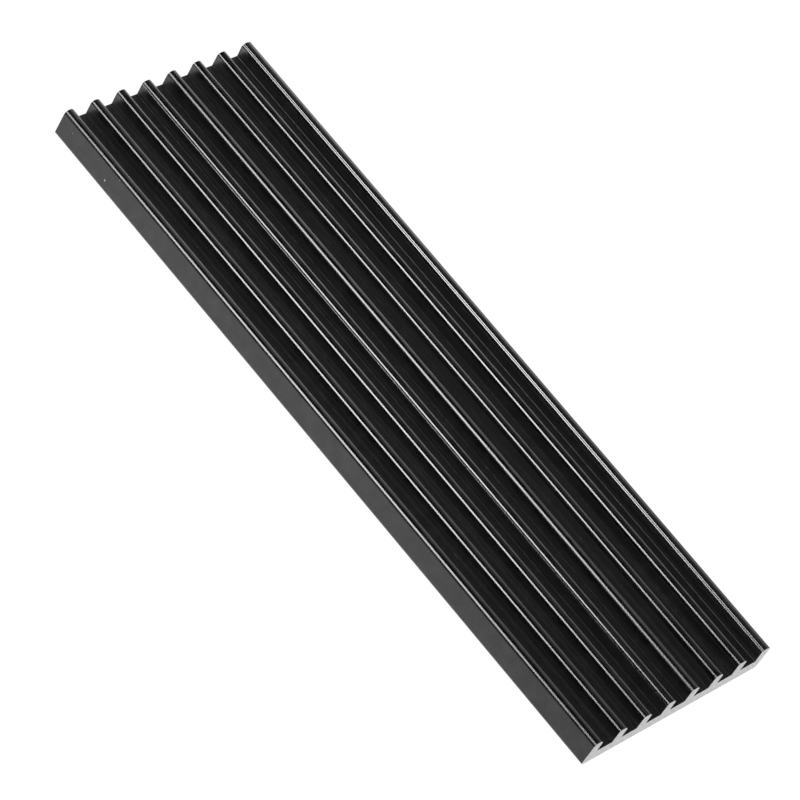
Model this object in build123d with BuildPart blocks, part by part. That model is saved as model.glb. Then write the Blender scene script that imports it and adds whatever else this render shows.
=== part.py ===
from build123d import *
import os
from math import radians, tan

# A heat sink for a slim solid-state drive, 70 x 22 x 3 mm. It is one aluminium
# extrusion: a flat plate with straight fins along its whole length, anodised black
# as a long bar and then sawn square, which leaves its two ends bare.
# Origin at the centre of the flat underside, Y along the fins, Z up through them.

# Outside size, in millimetres
length = 70.0
width = 22.0
height = 3.0

# Plate under the fins, and the radius on its two long lower edges
plate_thickness = 1.4
lower_edge_radius = 0.4

# Fins: thickness at the crown, lean of each flank in degrees, flat left on top
# between the two rounded shoulders, and radius where a flank meets the plate
fin_count = 8
fin_thickness = 1.05
flank_draft = 1.5
crown_flat = 0.1
root_radius = 0.05

# A fin thickens towards its root, and the roots of the two outer fins end flush with
# the sides of the plate. Their outer walls are upright, so they lean on one side only.
fin_height = height - plate_thickness
fin_root_thickness = fin_thickness + 2 * fin_height * tan(radians(flank_draft))
fin_pitch = (width - fin_root_thickness) / (fin_count - 1)
groove_count = fin_count - 1
groove_mouth_width = fin_pitch - fin_thickness
shoulder_radius = (fin_thickness - crown_flat) / 2

# Section across the bar: the full outline, less a groove between each two fins
with BuildPart() as finned_extrusion:
    with BuildSketch(Plane.XZ) as section:
        Rectangle(width, height, align=(Align.CENTER, Align.MIN))
        with Locations((0, plate_thickness)):
            with GridLocations(fin_pitch, 0, groove_count, 1):
                Trapezoid(
                    groove_mouth_width,
                    fin_height,
                    90 + flank_draft,
                    align=(Align.CENTER, Align.MIN),
                    mode=Mode.SUBTRACT,
                )
        lower_edges, groove_roots, fin_shoulders = section.vertices().group_by(Axis.Y)
        fillet(fin_shoulders, radius=shoulder_radius)
        fillet(groove_roots, radius=root_radius)
        fillet(lower_edges, radius=lower_edge_radius)

    # Both sawn ends are square to the fins, with sharp edges
    extrude(amount=length / 2, both=True)

finned_extrusion.part.label = "finned_extrusion"

os.makedirs("parts", exist_ok=True)
export_step(finned_extrusion.part, "parts/finned_extrusion.step")
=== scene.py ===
import math
from collections import namedtuple

import bmesh
import bpy
from mathutils import Matrix, Vector


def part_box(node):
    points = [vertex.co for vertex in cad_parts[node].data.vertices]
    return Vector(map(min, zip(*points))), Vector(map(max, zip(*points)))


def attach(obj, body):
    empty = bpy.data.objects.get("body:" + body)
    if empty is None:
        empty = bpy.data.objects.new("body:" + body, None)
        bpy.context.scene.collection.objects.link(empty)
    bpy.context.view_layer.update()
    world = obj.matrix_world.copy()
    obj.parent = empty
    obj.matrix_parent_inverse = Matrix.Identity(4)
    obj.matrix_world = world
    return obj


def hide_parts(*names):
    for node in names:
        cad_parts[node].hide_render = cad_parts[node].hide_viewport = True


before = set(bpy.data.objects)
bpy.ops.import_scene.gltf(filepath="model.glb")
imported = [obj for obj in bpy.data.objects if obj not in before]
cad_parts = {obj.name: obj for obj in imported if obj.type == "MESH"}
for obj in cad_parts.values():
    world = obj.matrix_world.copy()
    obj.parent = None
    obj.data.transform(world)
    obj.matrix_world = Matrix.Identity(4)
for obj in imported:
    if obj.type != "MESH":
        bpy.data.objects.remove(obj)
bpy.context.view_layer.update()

# The extruded bar
# One length of aluminium, pushed hot through a die that gives it a flat plate and eight
# round-topped fins. It has no joints or fasteners, so it is a single piece here too.

MM = 0.001
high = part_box("finned_extrusion")[1]
half_width = high.x
half_length = high.y
fin_top = high.z

# Plate: its thickness, and the radii of its two long lower edges
PLATE_TOP = 1.4 * MM
LEFT_LOWER_EDGE = 0.45 * MM
RIGHT_LOWER_EDGE = 0.18 * MM

# Fins: width of a crown, how far a right flank leans in, how much further out the two
# outer walls stand than a crown's width would put them, and how far the comb sits left
CROWN_WIDTH = 1.08 * MM
RIGHT_LEAN = 0.06 * MM
OUTER_EXTRA = 0.03 * MM
DRIFT = -0.02 * MM

# Outlines that a worn die gives to the crowns: bends as places across, from the middle of
# the fin, and heights over the fin's top. The last one has a groove in its left shoulder.
FLAT_CROWN = []
LOW_CROWN = [(-0.08, 0), (0.54, -0.05)]
FALLING_CROWN = [(-0.08, 0), (0.54, -0.09)]
LAST_CROWN = [
    (-0.54, -0.256),
    (-0.423, -0.139),
    (-0.387, -0.124),
    (-0.372, -0.088),
    (-0.2794, 0.0046),
    (0.02, -0.006),
    (0.12, -0.015),
    (0.59, -0.137),
]

# Each fin from left to right, in millimetres: how far its left flank overhangs, its crown,
# and the radii of its left and right shoulders and of its left and right roots
Fin = namedtuple("Fin", "overhang crown left_shoulder right_shoulder left_root right_root")
FINS = [
    Fin(0.04, FALLING_CROWN, 0.42, 0.45, 0, 0.05),
    Fin(0.04, FALLING_CROWN, 0.34, 0.45, 0.02, 0.05),
    Fin(0.04, FLAT_CROWN, 0.34, 0.54, 0.02, 0.05),
    Fin(0.04, FLAT_CROWN, 0.30, 0.54, 0.02, 0.05),
    Fin(0.04, FALLING_CROWN, 0.45, 0.45, 0.03, 0.05),
    Fin(0.04, LOW_CROWN, 0.33, 0.50, 0.02, 0.05),
    Fin(0.04, FLAT_CROWN, 0.34, 0.54, 0.02, 0.05),
    Fin(0.12, LAST_CROWN, 0.144, 0.26, 0.10, 0),
]
RIDGE_RADIUS = 0.10 * MM
fin_pitch = (2 * half_width - CROWN_WIDTH - 2 * OUTER_EXTRA) / (len(FINS) - 1)
fin_centres = [DRIFT + (n - (len(FINS) - 1) / 2) * fin_pitch for n in range(len(FINS))]

# Faces along each rounding
SHOULDER_STEPS = 27
RIDGE_STEPS = 15
ROOT_STEPS = 5
LOWER_EDGE_STEPS = 9

# How close two places are that count as one, how straight a normal is that points along
# an axis, how far in an outer wall reaches, where the sharp corners of a crown lie, and
# the angles up to which faces count as one flat face or as one smooth face
SAME_PLACE = 0.001 * MM
ALONG_AXIS = 0.9
WALL_DEPTH = 0.1 * MM
CORNER_DEPTH = 0.4 * MM
CORNER_FROM = 0.5 * MM
CORNER_TO = 0.7 * MM
FLAT_ANGLE = 0.001
SMOOTH_ANGLE = math.radians(20)


def near(value, target):
    return abs(value - target) < SAME_PLACE


def on_outer_wall(x):
    return abs(x) > half_width - WALL_DEPTH


def split_faces(bar, faces, x):
    """Splits these faces along the line at x."""
    edges = {edge for face in faces for edge in face.edges}
    verts = {vertex for face in faces for vertex in face.verts}
    bmesh.ops.bisect_plane(
        bar, geom=[*faces, *edges, *verts], plane_co=(x, 0, 0), plane_no=(1, 0, 0)
    )


def plate_with_root_lines():
    """The flat plate, its top face split along the roots of the fins."""
    bar = bmesh.new()
    bmesh.ops.create_cube(bar, size=1)
    bmesh.ops.scale(bar, verts=bar.verts, vec=(2 * half_width, 2 * half_length, PLATE_TOP))
    bmesh.ops.translate(bar, verts=bar.verts, vec=(0, 0, PLATE_TOP / 2))
    for centre, fin in zip(fin_centres, FINS):
        left_root = centre - CROWN_WIDTH / 2 + fin.overhang * MM
        right_root = centre + CROWN_WIDTH / 2 + RIGHT_LEAN
        for root in (left_root, right_root):
            if not on_outer_wall(root):
                top = [face for face in bar.faces if face.normal.z > ALONG_AXIS]
                split_faces(bar, top, root)
    return bar


def raise_fins(bar):
    """Draws the fins up from the plate and leans their inner flanks to the left."""
    bar.normal_update()
    feet = []
    for face in bar.faces:
        x = face.calc_center_median().x
        on_a_fin = any(abs(x - centre) < fin_pitch / 4 for centre in fin_centres)
        if face.normal.z > ALONG_AXIS and on_a_fin:
            feet.append(face)
    drawn = bmesh.ops.extrude_face_region(bar, geom=feet)
    tops = [item for item in drawn["geom"] if isinstance(item, bmesh.types.BMVert)]
    bmesh.ops.delete(bar, geom=feet, context="FACES_ONLY")
    bmesh.ops.translate(bar, verts=tops, vec=(0, 0, fin_top - PLATE_TOP))
    for vertex in tops:
        if not on_outer_wall(vertex.co.x):
            n = min(range(len(FINS)), key=lambda n: abs(fin_centres[n] - vertex.co.x))
            on_the_left = vertex.co.x < fin_centres[n]
            vertex.co.x -= FINS[n].overhang * MM if on_the_left else RIGHT_LEAN
    bmesh.ops.dissolve_limit(bar, angle_limit=FLAT_ANGLE, verts=bar.verts, edges=bar.edges)


def shape_crown(bar, centre, outline):
    """Bends a flat crown to its outline."""
    bends = [(centre + across * MM, fin_top + up * MM) for across, up in outline]
    for bend, _ in bends:
        crown = []
        for face in bar.faces:
            middle = face.calc_center_median()
            if near(middle.z, fin_top) and abs(middle.x - centre) < fin_pitch / 2:
                crown.append(face)
        if not any(near(vertex.co.x, bend) for face in crown for vertex in face.verts):
            split_faces(bar, crown, bend)
    for vertex in bar.verts:
        for bend, up in bends:
            if near(vertex.co.z, fin_top) and near(vertex.co.x, bend):
                vertex.co.z = up


def long_edges(bar, at):
    """The edges that run along the fins where at(x, z) holds."""
    found = []
    for edge in bar.edges:
        start, end = (vertex.co for vertex in edge.verts)
        along = near(start.x, end.x) and near(start.z, end.z)
        if along and at(start.x, start.z):
            found.append(edge)
    return found


def round_edges(bar, edges, radius, steps):
    bmesh.ops.bevel(
        bar,
        geom=edges,
        offset=radius,
        offset_type="OFFSET",
        segments=steps,
        profile=0.5,
        affect="EDGES",
        material=-1,
    )


def round_shoulder(bar, centre, side, radius):
    """Rounds a crown's corner on one side, -1 for the left and 1 for the right."""

    def at_corner(x, z):
        return z > fin_top - CORNER_DEPTH and CORNER_FROM < (x - centre) * side < CORNER_TO

    round_edges(bar, long_edges(bar, at_corner), radius * MM, SHOULDER_STEPS)


def round_root(bar, centre, side, radius):
    """Rounds the line where a flank meets the plate. An outer wall has none."""

    def at_root(x, z):
        return near(z, PLATE_TOP) and 0 < (x - centre) * side < fin_pitch / 2

    if radius:
        round_edges(bar, long_edges(bar, at_root), radius * MM, ROOT_STEPS)


def round_ridge(bar):
    """Rounds the ridge in the last crown, which stands a little over the others."""
    ridge = long_edges(bar, lambda x, z: z > fin_top + SAME_PLACE)
    round_edges(bar, ridge, RIDGE_RADIUS, RIDGE_STEPS)


def round_lower_edge(bar, side, radius):
    lower_edge = long_edges(bar, lambda x, z: near(z, 0) and x * side > 0)
    round_edges(bar, lower_edge, radius, LOWER_EDGE_STEPS)


bar = plate_with_root_lines()
raise_fins(bar)
for centre, fin in zip(fin_centres, FINS):
    shape_crown(bar, centre, fin.crown)
for centre, fin in zip(fin_centres, FINS):
    round_shoulder(bar, centre, -1, fin.left_shoulder)
    round_shoulder(bar, centre, 1, fin.right_shoulder)
round_ridge(bar)
for centre, fin in zip(fin_centres, FINS):
    round_root(bar, centre, -1, fin.left_root)
    round_root(bar, centre, 1, fin.right_root)
round_lower_edge(bar, -1, LEFT_LOWER_EDGE)
round_lower_edge(bar, 1, RIGHT_LOWER_EDGE)

# The die has a scratch too: a thin ledge stands on the left shoulder of the fourth fin
# and fades out towards the near end. It is made by moving out the shoulder's line at this
# distance in from the crown's left side and this height.
LEDGE_FIN = 3
LEDGE_INWARDS = 0.008 * MM
LEDGE_HEIGHT = 2.717 * MM
LEDGE_TOP = 2.7335 * MM
LEDGE_REACH = 0.023 * MM
NEAR_END_SHARE = 0.1


def draw_out_ledge(bar, end, share):
    """Moves the shoulder's line out at one end of the bar, by this share of the reach."""
    left_side = fin_centres[LEDGE_FIN] - CROWN_WIDTH / 2
    place = Vector((left_side + LEDGE_INWARDS, end * half_length, LEDGE_HEIGHT))
    nearest = min(bar.verts, key=lambda vertex: (vertex.co - place).length)
    nearest.co.x -= LEDGE_REACH * share
    nearest.co.z = LEDGE_TOP - LEDGE_REACH * share


draw_out_ledge(bar, -1, NEAR_END_SHARE)
draw_out_ledge(bar, 1, 1)

bar_mesh = bpy.data.meshes.new("finned_bar")
bar.normal_update()
bar.to_mesh(bar_mesh)
bar.free()
finned_bar = bpy.data.objects.new("finned_bar", bar_mesh)
bpy.context.scene.collection.objects.link(finned_bar)
for polygon in bar_mesh.polygons:
    polygon.use_smooth = True
bar_mesh.set_sharp_from_angle(angle=SMOOTH_ANGLE)
flat_faces = finned_bar.modifiers.new("flat faces stay flat", "WEIGHTED_NORMAL")
flat_faces.keep_sharp = True

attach(finned_bar, "root")
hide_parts("finned_extrusion")


# Black anodised skin
# The whole bar is dyed black and sealed after it is extruded. The skin is a thin glassy
# oxide over fine lines that the die draws along the bar. It is dull down in the grooves,
# smoother higher up and on the outer walls, and glossy on the left shoulders.

class Socket:
    """A shader value that can be written in plain arithmetic."""

    def __init__(self, shader, link):
        self.shader = shader
        self.link = link

    def math(self, operation, *others):
        return self.shader.node("Math", {"operation": operation}, self, *others)

    def __add__(self, other):
        return self.math("ADD", other)

    __radd__ = __add__

    def __mul__(self, other):
        return self.math("MULTIPLY", other)

    __rmul__ = __mul__

    def __sub__(self, other):
        return self.math("SUBTRACT", other)

    def __rsub__(self, other):
        return self.shader.node("Math", {"operation": "SUBTRACT"}, other, self)

    def clamped(self):
        return self.shader.node("Clamp", {}, self)

    def swing(self, size):
        """A noise, which lies about 0.5, made to swing about 0 with this size."""
        return (self - 0.5) * size


def set_stops(ramp, colours):
    """Makes a colour ramp hold each colour over an equal share of 0 to 1."""
    ramp.interpolation = "CONSTANT"
    while len(ramp.elements) < len(colours):
        ramp.elements.new(1.0)
    for n, colour in enumerate(colours):
        ramp.elements[n].position = n / len(colours)
        ramp.elements[n].color = colour


class Shader:
    """A material's or a world's nodes, added one at a time."""

    def __init__(self, owner):
        owner.use_nodes = True
        self.tree = owner.node_tree
        self.tree.nodes.clear()

    def node(self, kind, settings, *inputs, out=0, **named):
        made = self.tree.nodes.new("ShaderNode" + kind)
        for name, value in settings.items():
            if name == "stops":
                set_stops(made.color_ramp, value)
            else:
                setattr(made, name, value)
        for key, value in [*enumerate(inputs), *named.items()]:
            if isinstance(key, str):
                key = key.replace("_", " ")
            if isinstance(value, Socket):
                self.tree.links.new(value.link, made.inputs[key])
            elif value is not None:
                made.inputs[key].default_value = value
        return Socket(self, made.outputs[out])

    def blend(self, factor, first, second):
        """One colour turning into another as the factor goes from 0 to 1."""
        unused = [None] * 5
        return self.node("Mix", {"data_type": "RGBA"}, factor, *unused, first, second, out=2)

    def ramp(self, value, start, end):
        """0 up to start and 1 from end on, with an even rise between."""
        return self.node("MapRange", {}, value, From_Min=start, From_Max=end)

    def rise(self, value, start, end, top=1.0):
        """0 up to start and top from end on, with a smooth rise between."""
        smooth = {"interpolation_type": "SMOOTHSTEP"}
        return self.node("MapRange", smooth, value, From_Min=start, From_Max=end, To_Max=top)

    def lines(self, place, width, length, **named):
        """A noise drawn out along the bar, into lines of this width and length."""
        drawn_out = self.node("Mapping", {}, place, Scale=(1 / width, 1 / length, 1 / width))
        return self.node("TexNoise", {}, drawn_out, Scale=1.0, **named)

    def spots(self, place, marks):
        """1 in small soft-edged marks and 0 outside, from their centres and radii in millimetres."""
        spotted = 0
        for centre, radius in marks:
            centre = Vector(centre) * MM
            away = self.node("VectorMath", {"operation": "DISTANCE"}, place, centre, out="Value")
            spotted = spotted + self.ramp(away, radius * MM, radius * MM / 2)
        return spotted

    def output(self, surface, kind="OutputMaterial"):
        made = self.tree.nodes.new("ShaderNode" + kind)
        self.tree.links.new(surface.link, made.inputs["Surface"])


def grey(level):
    return (level, level, level, 1)


# Colours of the dye, plain, where it has worn and along the lines, and of bare metal
DYED = grey(0.0003)
WORN = grey(0.010)
SCRATCHED = grey(0.030)
BARE = grey(0.45)
BARE_METALLIC = 0.9

# Lines of the die: their size, between which levels of the noise they show, how much of
# the broad ones shows, and how high they stand
BROAD_LINE = 0.42 * MM
BROAD_LEVELS = (0.58, 0.72)
BROAD_SHARE = 0.35
FINE_LINE = 0.15 * MM
FINE_LEVELS = (0.57, 0.68)
LINE_LENGTH = 160 * MM
LINE_BUMP = 0.0006 * MM

# Clouds and grain in the dye: their sizes, the height of the grain, how worn the skin is
# as a rule, and how far clouds and grain swing that
CLOUD = 1.2 * MM
GRAIN = 0.09 * MM
GRAIN_BUMP = 0.0015 * MM
WEAR = 0.25
CLOUD_WEAR = 2
GRAIN_WEAR = 4

# Where the skin changes, each as where the change begins and where it is full: heights up
# the flank and up to the crown, and the sideways part of a normal on the left shoulder.
# The finish of the outer walls fades out over a depth.
UPPER_FLANK = (1.5 * MM, 2.3 * MM)
CROWN = (2.2 * MM, 2.75 * MM)
LEFT_SHOULDER = (0.0, -0.35)
OUTER_WALL_DEPTH = 0.2 * MM

# Roughness down in the grooves, how much smoother the skin is elsewhere, and how far
# lines and clouds swing it
GROOVE_ROUGHNESS = 0.54
SMOOTHER_HIGH_UP = 0.22
SMOOTHER_CROWN = 0.02
SMOOTHER_SHOULDER = 0.09
LINE_ROUGHNESS = 0.06
CLOUD_ROUGHNESS = 0.22

# Glassy oxide: its refraction and roughness, and its weight where the skin is worn and on
# each left shoulder, from the first fin to the last
OXIDE_IOR = 1.6
OXIDE_ROUGHNESS = 0.21
WORN_GLOSS = 0.35
SHOULDER_GLOSS = [0.0, 0.33, 0.50, 0.45, 0.10, 0.36, 0.50, 1.0]

# Nicks in the left outer wall near the far end: centres and radii in millimetres
NICKS = [
    ((-11.0, 28.56, 1.18), 0.12),
    ((-11.0, 33.39, 1.88), 0.05),
    ((-11.0, 27.28, 2.60), 0.05),
    ((-11.0, 30.07, 2.22), 0.04),
]

black_anodised = bpy.data.materials.new("black_anodised")
skin = Shader(black_anodised)
skin_place = skin.node("TexCoord", {}, out="Object")
across_bar = skin.node("SeparateXYZ", {}, skin_place, out="X")
height_up = skin.node("SeparateXYZ", {}, skin_place, out="Z")
normal = skin.node("NewGeometry", {}, out="Normal")
sideways = skin.node("SeparateXYZ", {}, normal, out="X")

upper_flank = skin.rise(height_up, *UPPER_FLANK)
outer_wall = skin.rise(across_bar.math("ABSOLUTE"), half_width - OUTER_WALL_DEPTH, half_width)
high_up = (upper_flank + outer_wall).clamped()
crown_skin = skin.rise(height_up, *CROWN)
left_shoulder = crown_skin * skin.ramp(sideways, *LEFT_SHOULDER)
along_the_comb = across_bar * (1 / (len(FINS) * fin_pitch)) + 0.5
glosses = [grey(gloss) for gloss in SHOULDER_GLOSS]
shoulder_gloss = skin.node("ValToRGB", {"stops": glosses}, along_the_comb)

die_lines = skin.lines(skin_place, BROAD_LINE, LINE_LENGTH, Detail=2.0, Roughness=0.6)
fine_lines = skin.lines(skin_place, FINE_LINE, LINE_LENGTH, Detail=1.0)
broad_scratches = skin.ramp(die_lines, *BROAD_LEVELS) * BROAD_SHARE
fine_scratches = skin.ramp(fine_lines, *FINE_LEVELS)
scratched = (broad_scratches + fine_scratches).clamped() * (1 - outer_wall)
clouds = skin.node("TexNoise", {}, skin_place, Scale=1 / CLOUD, Detail=3.0)
grain = skin.node("TexNoise", {}, skin_place, Scale=1 / GRAIN, Detail=2.0)
worn = (clouds.swing(CLOUD_WEAR) + grain.swing(GRAIN_WEAR) + WEAR).clamped()
nicked = skin.spots(skin_place, NICKS)

dye = skin.blend(scratched, skin.blend(worn, DYED, WORN), SCRATCHED)
smoother = high_up * SMOOTHER_HIGH_UP + crown_skin * SMOOTHER_CROWN + left_shoulder * SMOOTHER_SHOULDER
uneven = die_lines.swing(LINE_ROUGHNESS) + clouds.swing(CLOUD_ROUGHNESS)
lined = skin.node("Bump", {}, Distance=LINE_BUMP, Height=die_lines)
anodised = skin.node(
    "BsdfPrincipled",
    {},
    Base_Color=skin.blend(nicked, dye, BARE),
    Metallic=nicked * BARE_METALLIC,
    Roughness=GROOVE_ROUGHNESS - smoother + uneven,
    IOR=OXIDE_IOR,
    Coat_Weight=worn * WORN_GLOSS + left_shoulder * shoulder_gloss,
    Coat_Roughness=OXIDE_ROUGHNESS,
    Normal=skin.node("Bump", {}, Distance=GRAIN_BUMP, Height=grain, Normal=lined),
)
skin.output(anodised)
bar_mesh.materials.append(black_anodised)

# Sawn ends
# The long bar is cut to length with a saw after it is anodised, so both ends are bare,
# pale aluminium. The blade leaves faint arcs and a torn grain, and at the near end two
# small burrs carry painted glints: white spots in the metal's colour.

SAW_CENTRE = Vector((20.0, 0.0, -120.0)) * MM
SAW_MARK = 0.16 * MM
SAW_DEPTH = 0.002 * MM
TORN_GRAIN = 0.20 * MM
SMEAR = 0.5 * MM

# Colours of the metal, how far arcs, grain and smears swing it between dull and bright,
# its roughness, and the centres and radii in millimetres of the painted glints on the burrs
DULL_METAL = grey(0.42)
BRIGHT_METAL = grey(0.72)
BURR_GLINT_COLOUR = grey(1)
SAW_MARK_TONE = 0.8
TORN_TONE = 2.4
SMEAR_TONE = 1.2
METAL_ROUGHNESS = 0.45
SMEAR_ROUGHNESS = 0.1
BURR_GLINTS = [((7.10, -35.0, 2.55), 0.11), ((10.05, -35.0, 2.55), 0.11)]

bare_sawn = bpy.data.materials.new("bare_sawn")
cut = Shader(bare_sawn)
cut_place = cut.node("TexCoord", {}, out="Object")
from_saw = cut.node("VectorMath", {"operation": "DISTANCE"}, cut_place, SAW_CENTRE, out="Value")
saw_marks = cut.node(
    "TexNoise", {"noise_dimensions": "1D"}, W=from_saw * (1 / SAW_MARK), Scale=1.0, Detail=3.0
)
torn = cut.node("TexNoise", {}, cut_place, Scale=1 / TORN_GRAIN, Detail=2.0)
smear = cut.node("TexNoise", {}, cut_place, Scale=1 / SMEAR, Detail=3.0)
tone = saw_marks.swing(SAW_MARK_TONE) + torn.swing(TORN_TONE) + smear.swing(SMEAR_TONE) + 0.5
sawn_metal = cut.blend(tone.clamped(), DULL_METAL, BRIGHT_METAL)
# The white spots at the burrs are painted glints, not the metal's own colour.
metal = cut.node(
    "BsdfPrincipled",
    {},
    Base_Color=cut.blend(cut.spots(cut_place, BURR_GLINTS), sawn_metal, BURR_GLINT_COLOUR),
    Metallic=1.0,
    Roughness=METAL_ROUGHNESS + smear.swing(SMEAR_ROUGHNESS),
    Normal=cut.node("Bump", {}, Distance=SAW_DEPTH, Height=saw_marks),
)
cut.output(metal)
bar_mesh.materials.append(bare_sawn)
for polygon in bar_mesh.polygons:
    polygon.material_index = 1 if abs(polygon.normal.y) > ALONG_AXIS else 0

# White table
# A plain sheet of white paper under the part, wide enough to fill every view. It lies a
# hair below the part, so that the two don't touch, and is see-through from below.

TABLE_HALF = 3.0
TABLE_GAP = 0.02 * MM
table_mesh = bpy.data.meshes.new("table")
sheet = bmesh.new()
bmesh.ops.create_grid(sheet, x_segments=1, y_segments=1, size=TABLE_HALF)
sheet.to_mesh(table_mesh)
sheet.free()
table_mesh.transform(Matrix.Translation((0, 0, -TABLE_GAP)))
table = bpy.data.objects.new("table", table_mesh)
bpy.context.scene.collection.objects.link(table)

# The camera sees the paper as white, with a trace of the part's shadow. Faces that mirror
# it show it with painted shade on the left: a little beside the bar, growing towards the
# near end, and strongly further out. Each pair is where a shade begins and where it is full.
PAPER = grey(0.9)
WHITE = grey(1)
BLACK = grey(0)
WHITE_STRENGTH = 1.06
WHITE_SHARE = 0.95
BESIDE_BAR = (-10.5 * MM, -11.5 * MM)
TOWARDS_NEAR_END = (0.0, -55 * MM)
BESIDE_SHADE = 0.32
FURTHER_OUT = (-14.5 * MM, -26 * MM)
FURTHER_SHADE = 0.8

white_paper = bpy.data.materials.new("white_paper")
paper = Shader(white_paper)
seen = paper.node("LightPath", {}, out="Is Camera Ray")
glossy = paper.node("LightPath", {}, out="Is Glossy Ray")
through = paper.node("LightPath", {}, out="Is Transmission Ray")
from_below = paper.node("NewGeometry", {}, out="Backfacing")
paper_place = paper.node("TexCoord", {}, out="Object")
across_table = paper.node("SeparateXYZ", {}, paper_place, out="X")
along_table = paper.node("SeparateXYZ", {}, paper_place, out="Y")
beside_bar = paper.rise(across_table, *BESIDE_BAR)
beside_shade = beside_bar * paper.rise(along_table, *TOWARDS_NEAR_END, BESIDE_SHADE)
further_shade = paper.rise(across_table, *FURTHER_OUT, FURTHER_SHADE)
# Painted shade: the paper's colour in mirror images is darkened on the left.
mirrored_colour = paper.blend((beside_shade + further_shade).clamped(), WHITE, BLACK)
glowing = paper.node("Emission", {}, paper.blend(seen, mirrored_colour, WHITE), WHITE_STRENGTH)
lit = paper.node("BsdfDiffuse", {}, PAPER)
direct = (seen + glossy + through).clamped()
from_above = paper.node("MixShader", {}, direct * WHITE_SHARE, lit, glowing)
clear = paper.node("BsdfTransparent", {})
paper.output(paper.node("MixShader", {}, from_below, from_above, clear))
table_mesh.materials.append(white_paper)

# Studio light
# A dark room with a pale band low on the right and a white backdrop that only the camera
# sees. One long softbox hangs high on the left and a weak card stands low on the right.
# A wide panel overhead lights the part but isn't mirrored in it.

BACKDROP_STRENGTH = 1.0
ROOM_GLOW = 0.03
BAND_HEIGHTS = (0.62, 0.30)
BAND_SIDE = (0.2, 0.6)

world = bpy.data.worlds.new("studio")
bpy.context.scene.world = world
room = Shader(world)
direction = room.node("TexCoord", {}, out="Generated")
across_room = room.node("SeparateXYZ", {}, direction, out="X")
height_in_room = room.node("SeparateXYZ", {}, direction, out="Z")
band = room.rise(height_in_room, *BAND_HEIGHTS) * room.rise(across_room, *BAND_SIDE)
walls = room.node("Background", {}, WHITE, band + ROOM_GLOW)
backdrop = room.node("Background", {}, WHITE, BACKDROP_STRENGTH)
seen_directly = room.node("LightPath", {}, out="Is Camera Ray")
room.output(room.node("MixShader", {}, seen_directly, walls, backdrop), "OutputWorld")


def softbox(name, place, back, size, radiance, mirrored=True):
    """A flat lamp at place with its back to the given side. Shiny faces show it where mirrored."""
    lamp = bpy.data.lights.new(name, "AREA")
    lamp.shape = "RECTANGLE"
    lamp.size, lamp.size_y = size
    lamp.energy = radiance * math.pi * size[0] * size[1]
    holder = bpy.data.objects.new(name, lamp)
    turned = Vector(back).to_track_quat("Z", "Y").to_matrix().to_4x4()
    holder.matrix_world = Matrix.Translation(place) @ turned
    holder.visible_glossy = mirrored
    bpy.context.scene.collection.objects.link(holder)


softbox(
    "left_box",
    place=(-0.406, 0.178, 0.3855),
    back=(-0.406, 0, 0.3855),
    size=(0.16, 0.375),
    radiance=13.4,
)
softbox(
    "overhead",
    place=(0.0, 0.0, 0.9),
    back=(0.0, 0.0, 1.0),
    size=(0.9, 0.9),
    radiance=0.5,
    mirrored=False,
)
softbox(
    "right_card",
    place=(0.25, 0.19, 0.045),
    back=(0.25, 0.19, 0.045),
    size=(0.24, 0.10),
    radiance=1.5,
)

# Camera
# A long lens from above the left wall and the sawn near end, turned so that the bar runs
# from the upper left corner of the picture to the lower right.

PICTURE = 800
LENS_PIXELS = 4559
SENSOR = 36.0
NEAREST_SEEN = 0.01
AIM = Vector((-1.695, -0.671, 1.5)) * MM
AZIMUTH = math.radians(-66.34)
ELEVATION = math.radians(44.14)
ROLL = math.radians(32.87)
DISTANCE = 0.3762

camera_data = bpy.data.cameras.new("camera")
camera_data.sensor_width = SENSOR
camera_data.lens = LENS_PIXELS / PICTURE * SENSOR
camera_data.clip_start = NEAREST_SEEN
back = Vector(
    (
        math.sin(AZIMUTH) * math.cos(ELEVATION),
        -math.cos(AZIMUTH) * math.cos(ELEVATION),
        math.sin(ELEVATION),
    )
)
camera = bpy.data.objects.new("camera", camera_data)
turned = back.to_track_quat("Z", "Y").to_matrix().to_4x4() @ Matrix.Rotation(ROLL, 4, "Z")
camera.matrix_world = Matrix.Translation(AIM + back * DISTANCE) @ turned
bpy.context.scene.collection.objects.link(camera)
bpy.context.scene.camera = camera

bpy.context.scene.view_settings.view_transform = "Standard"
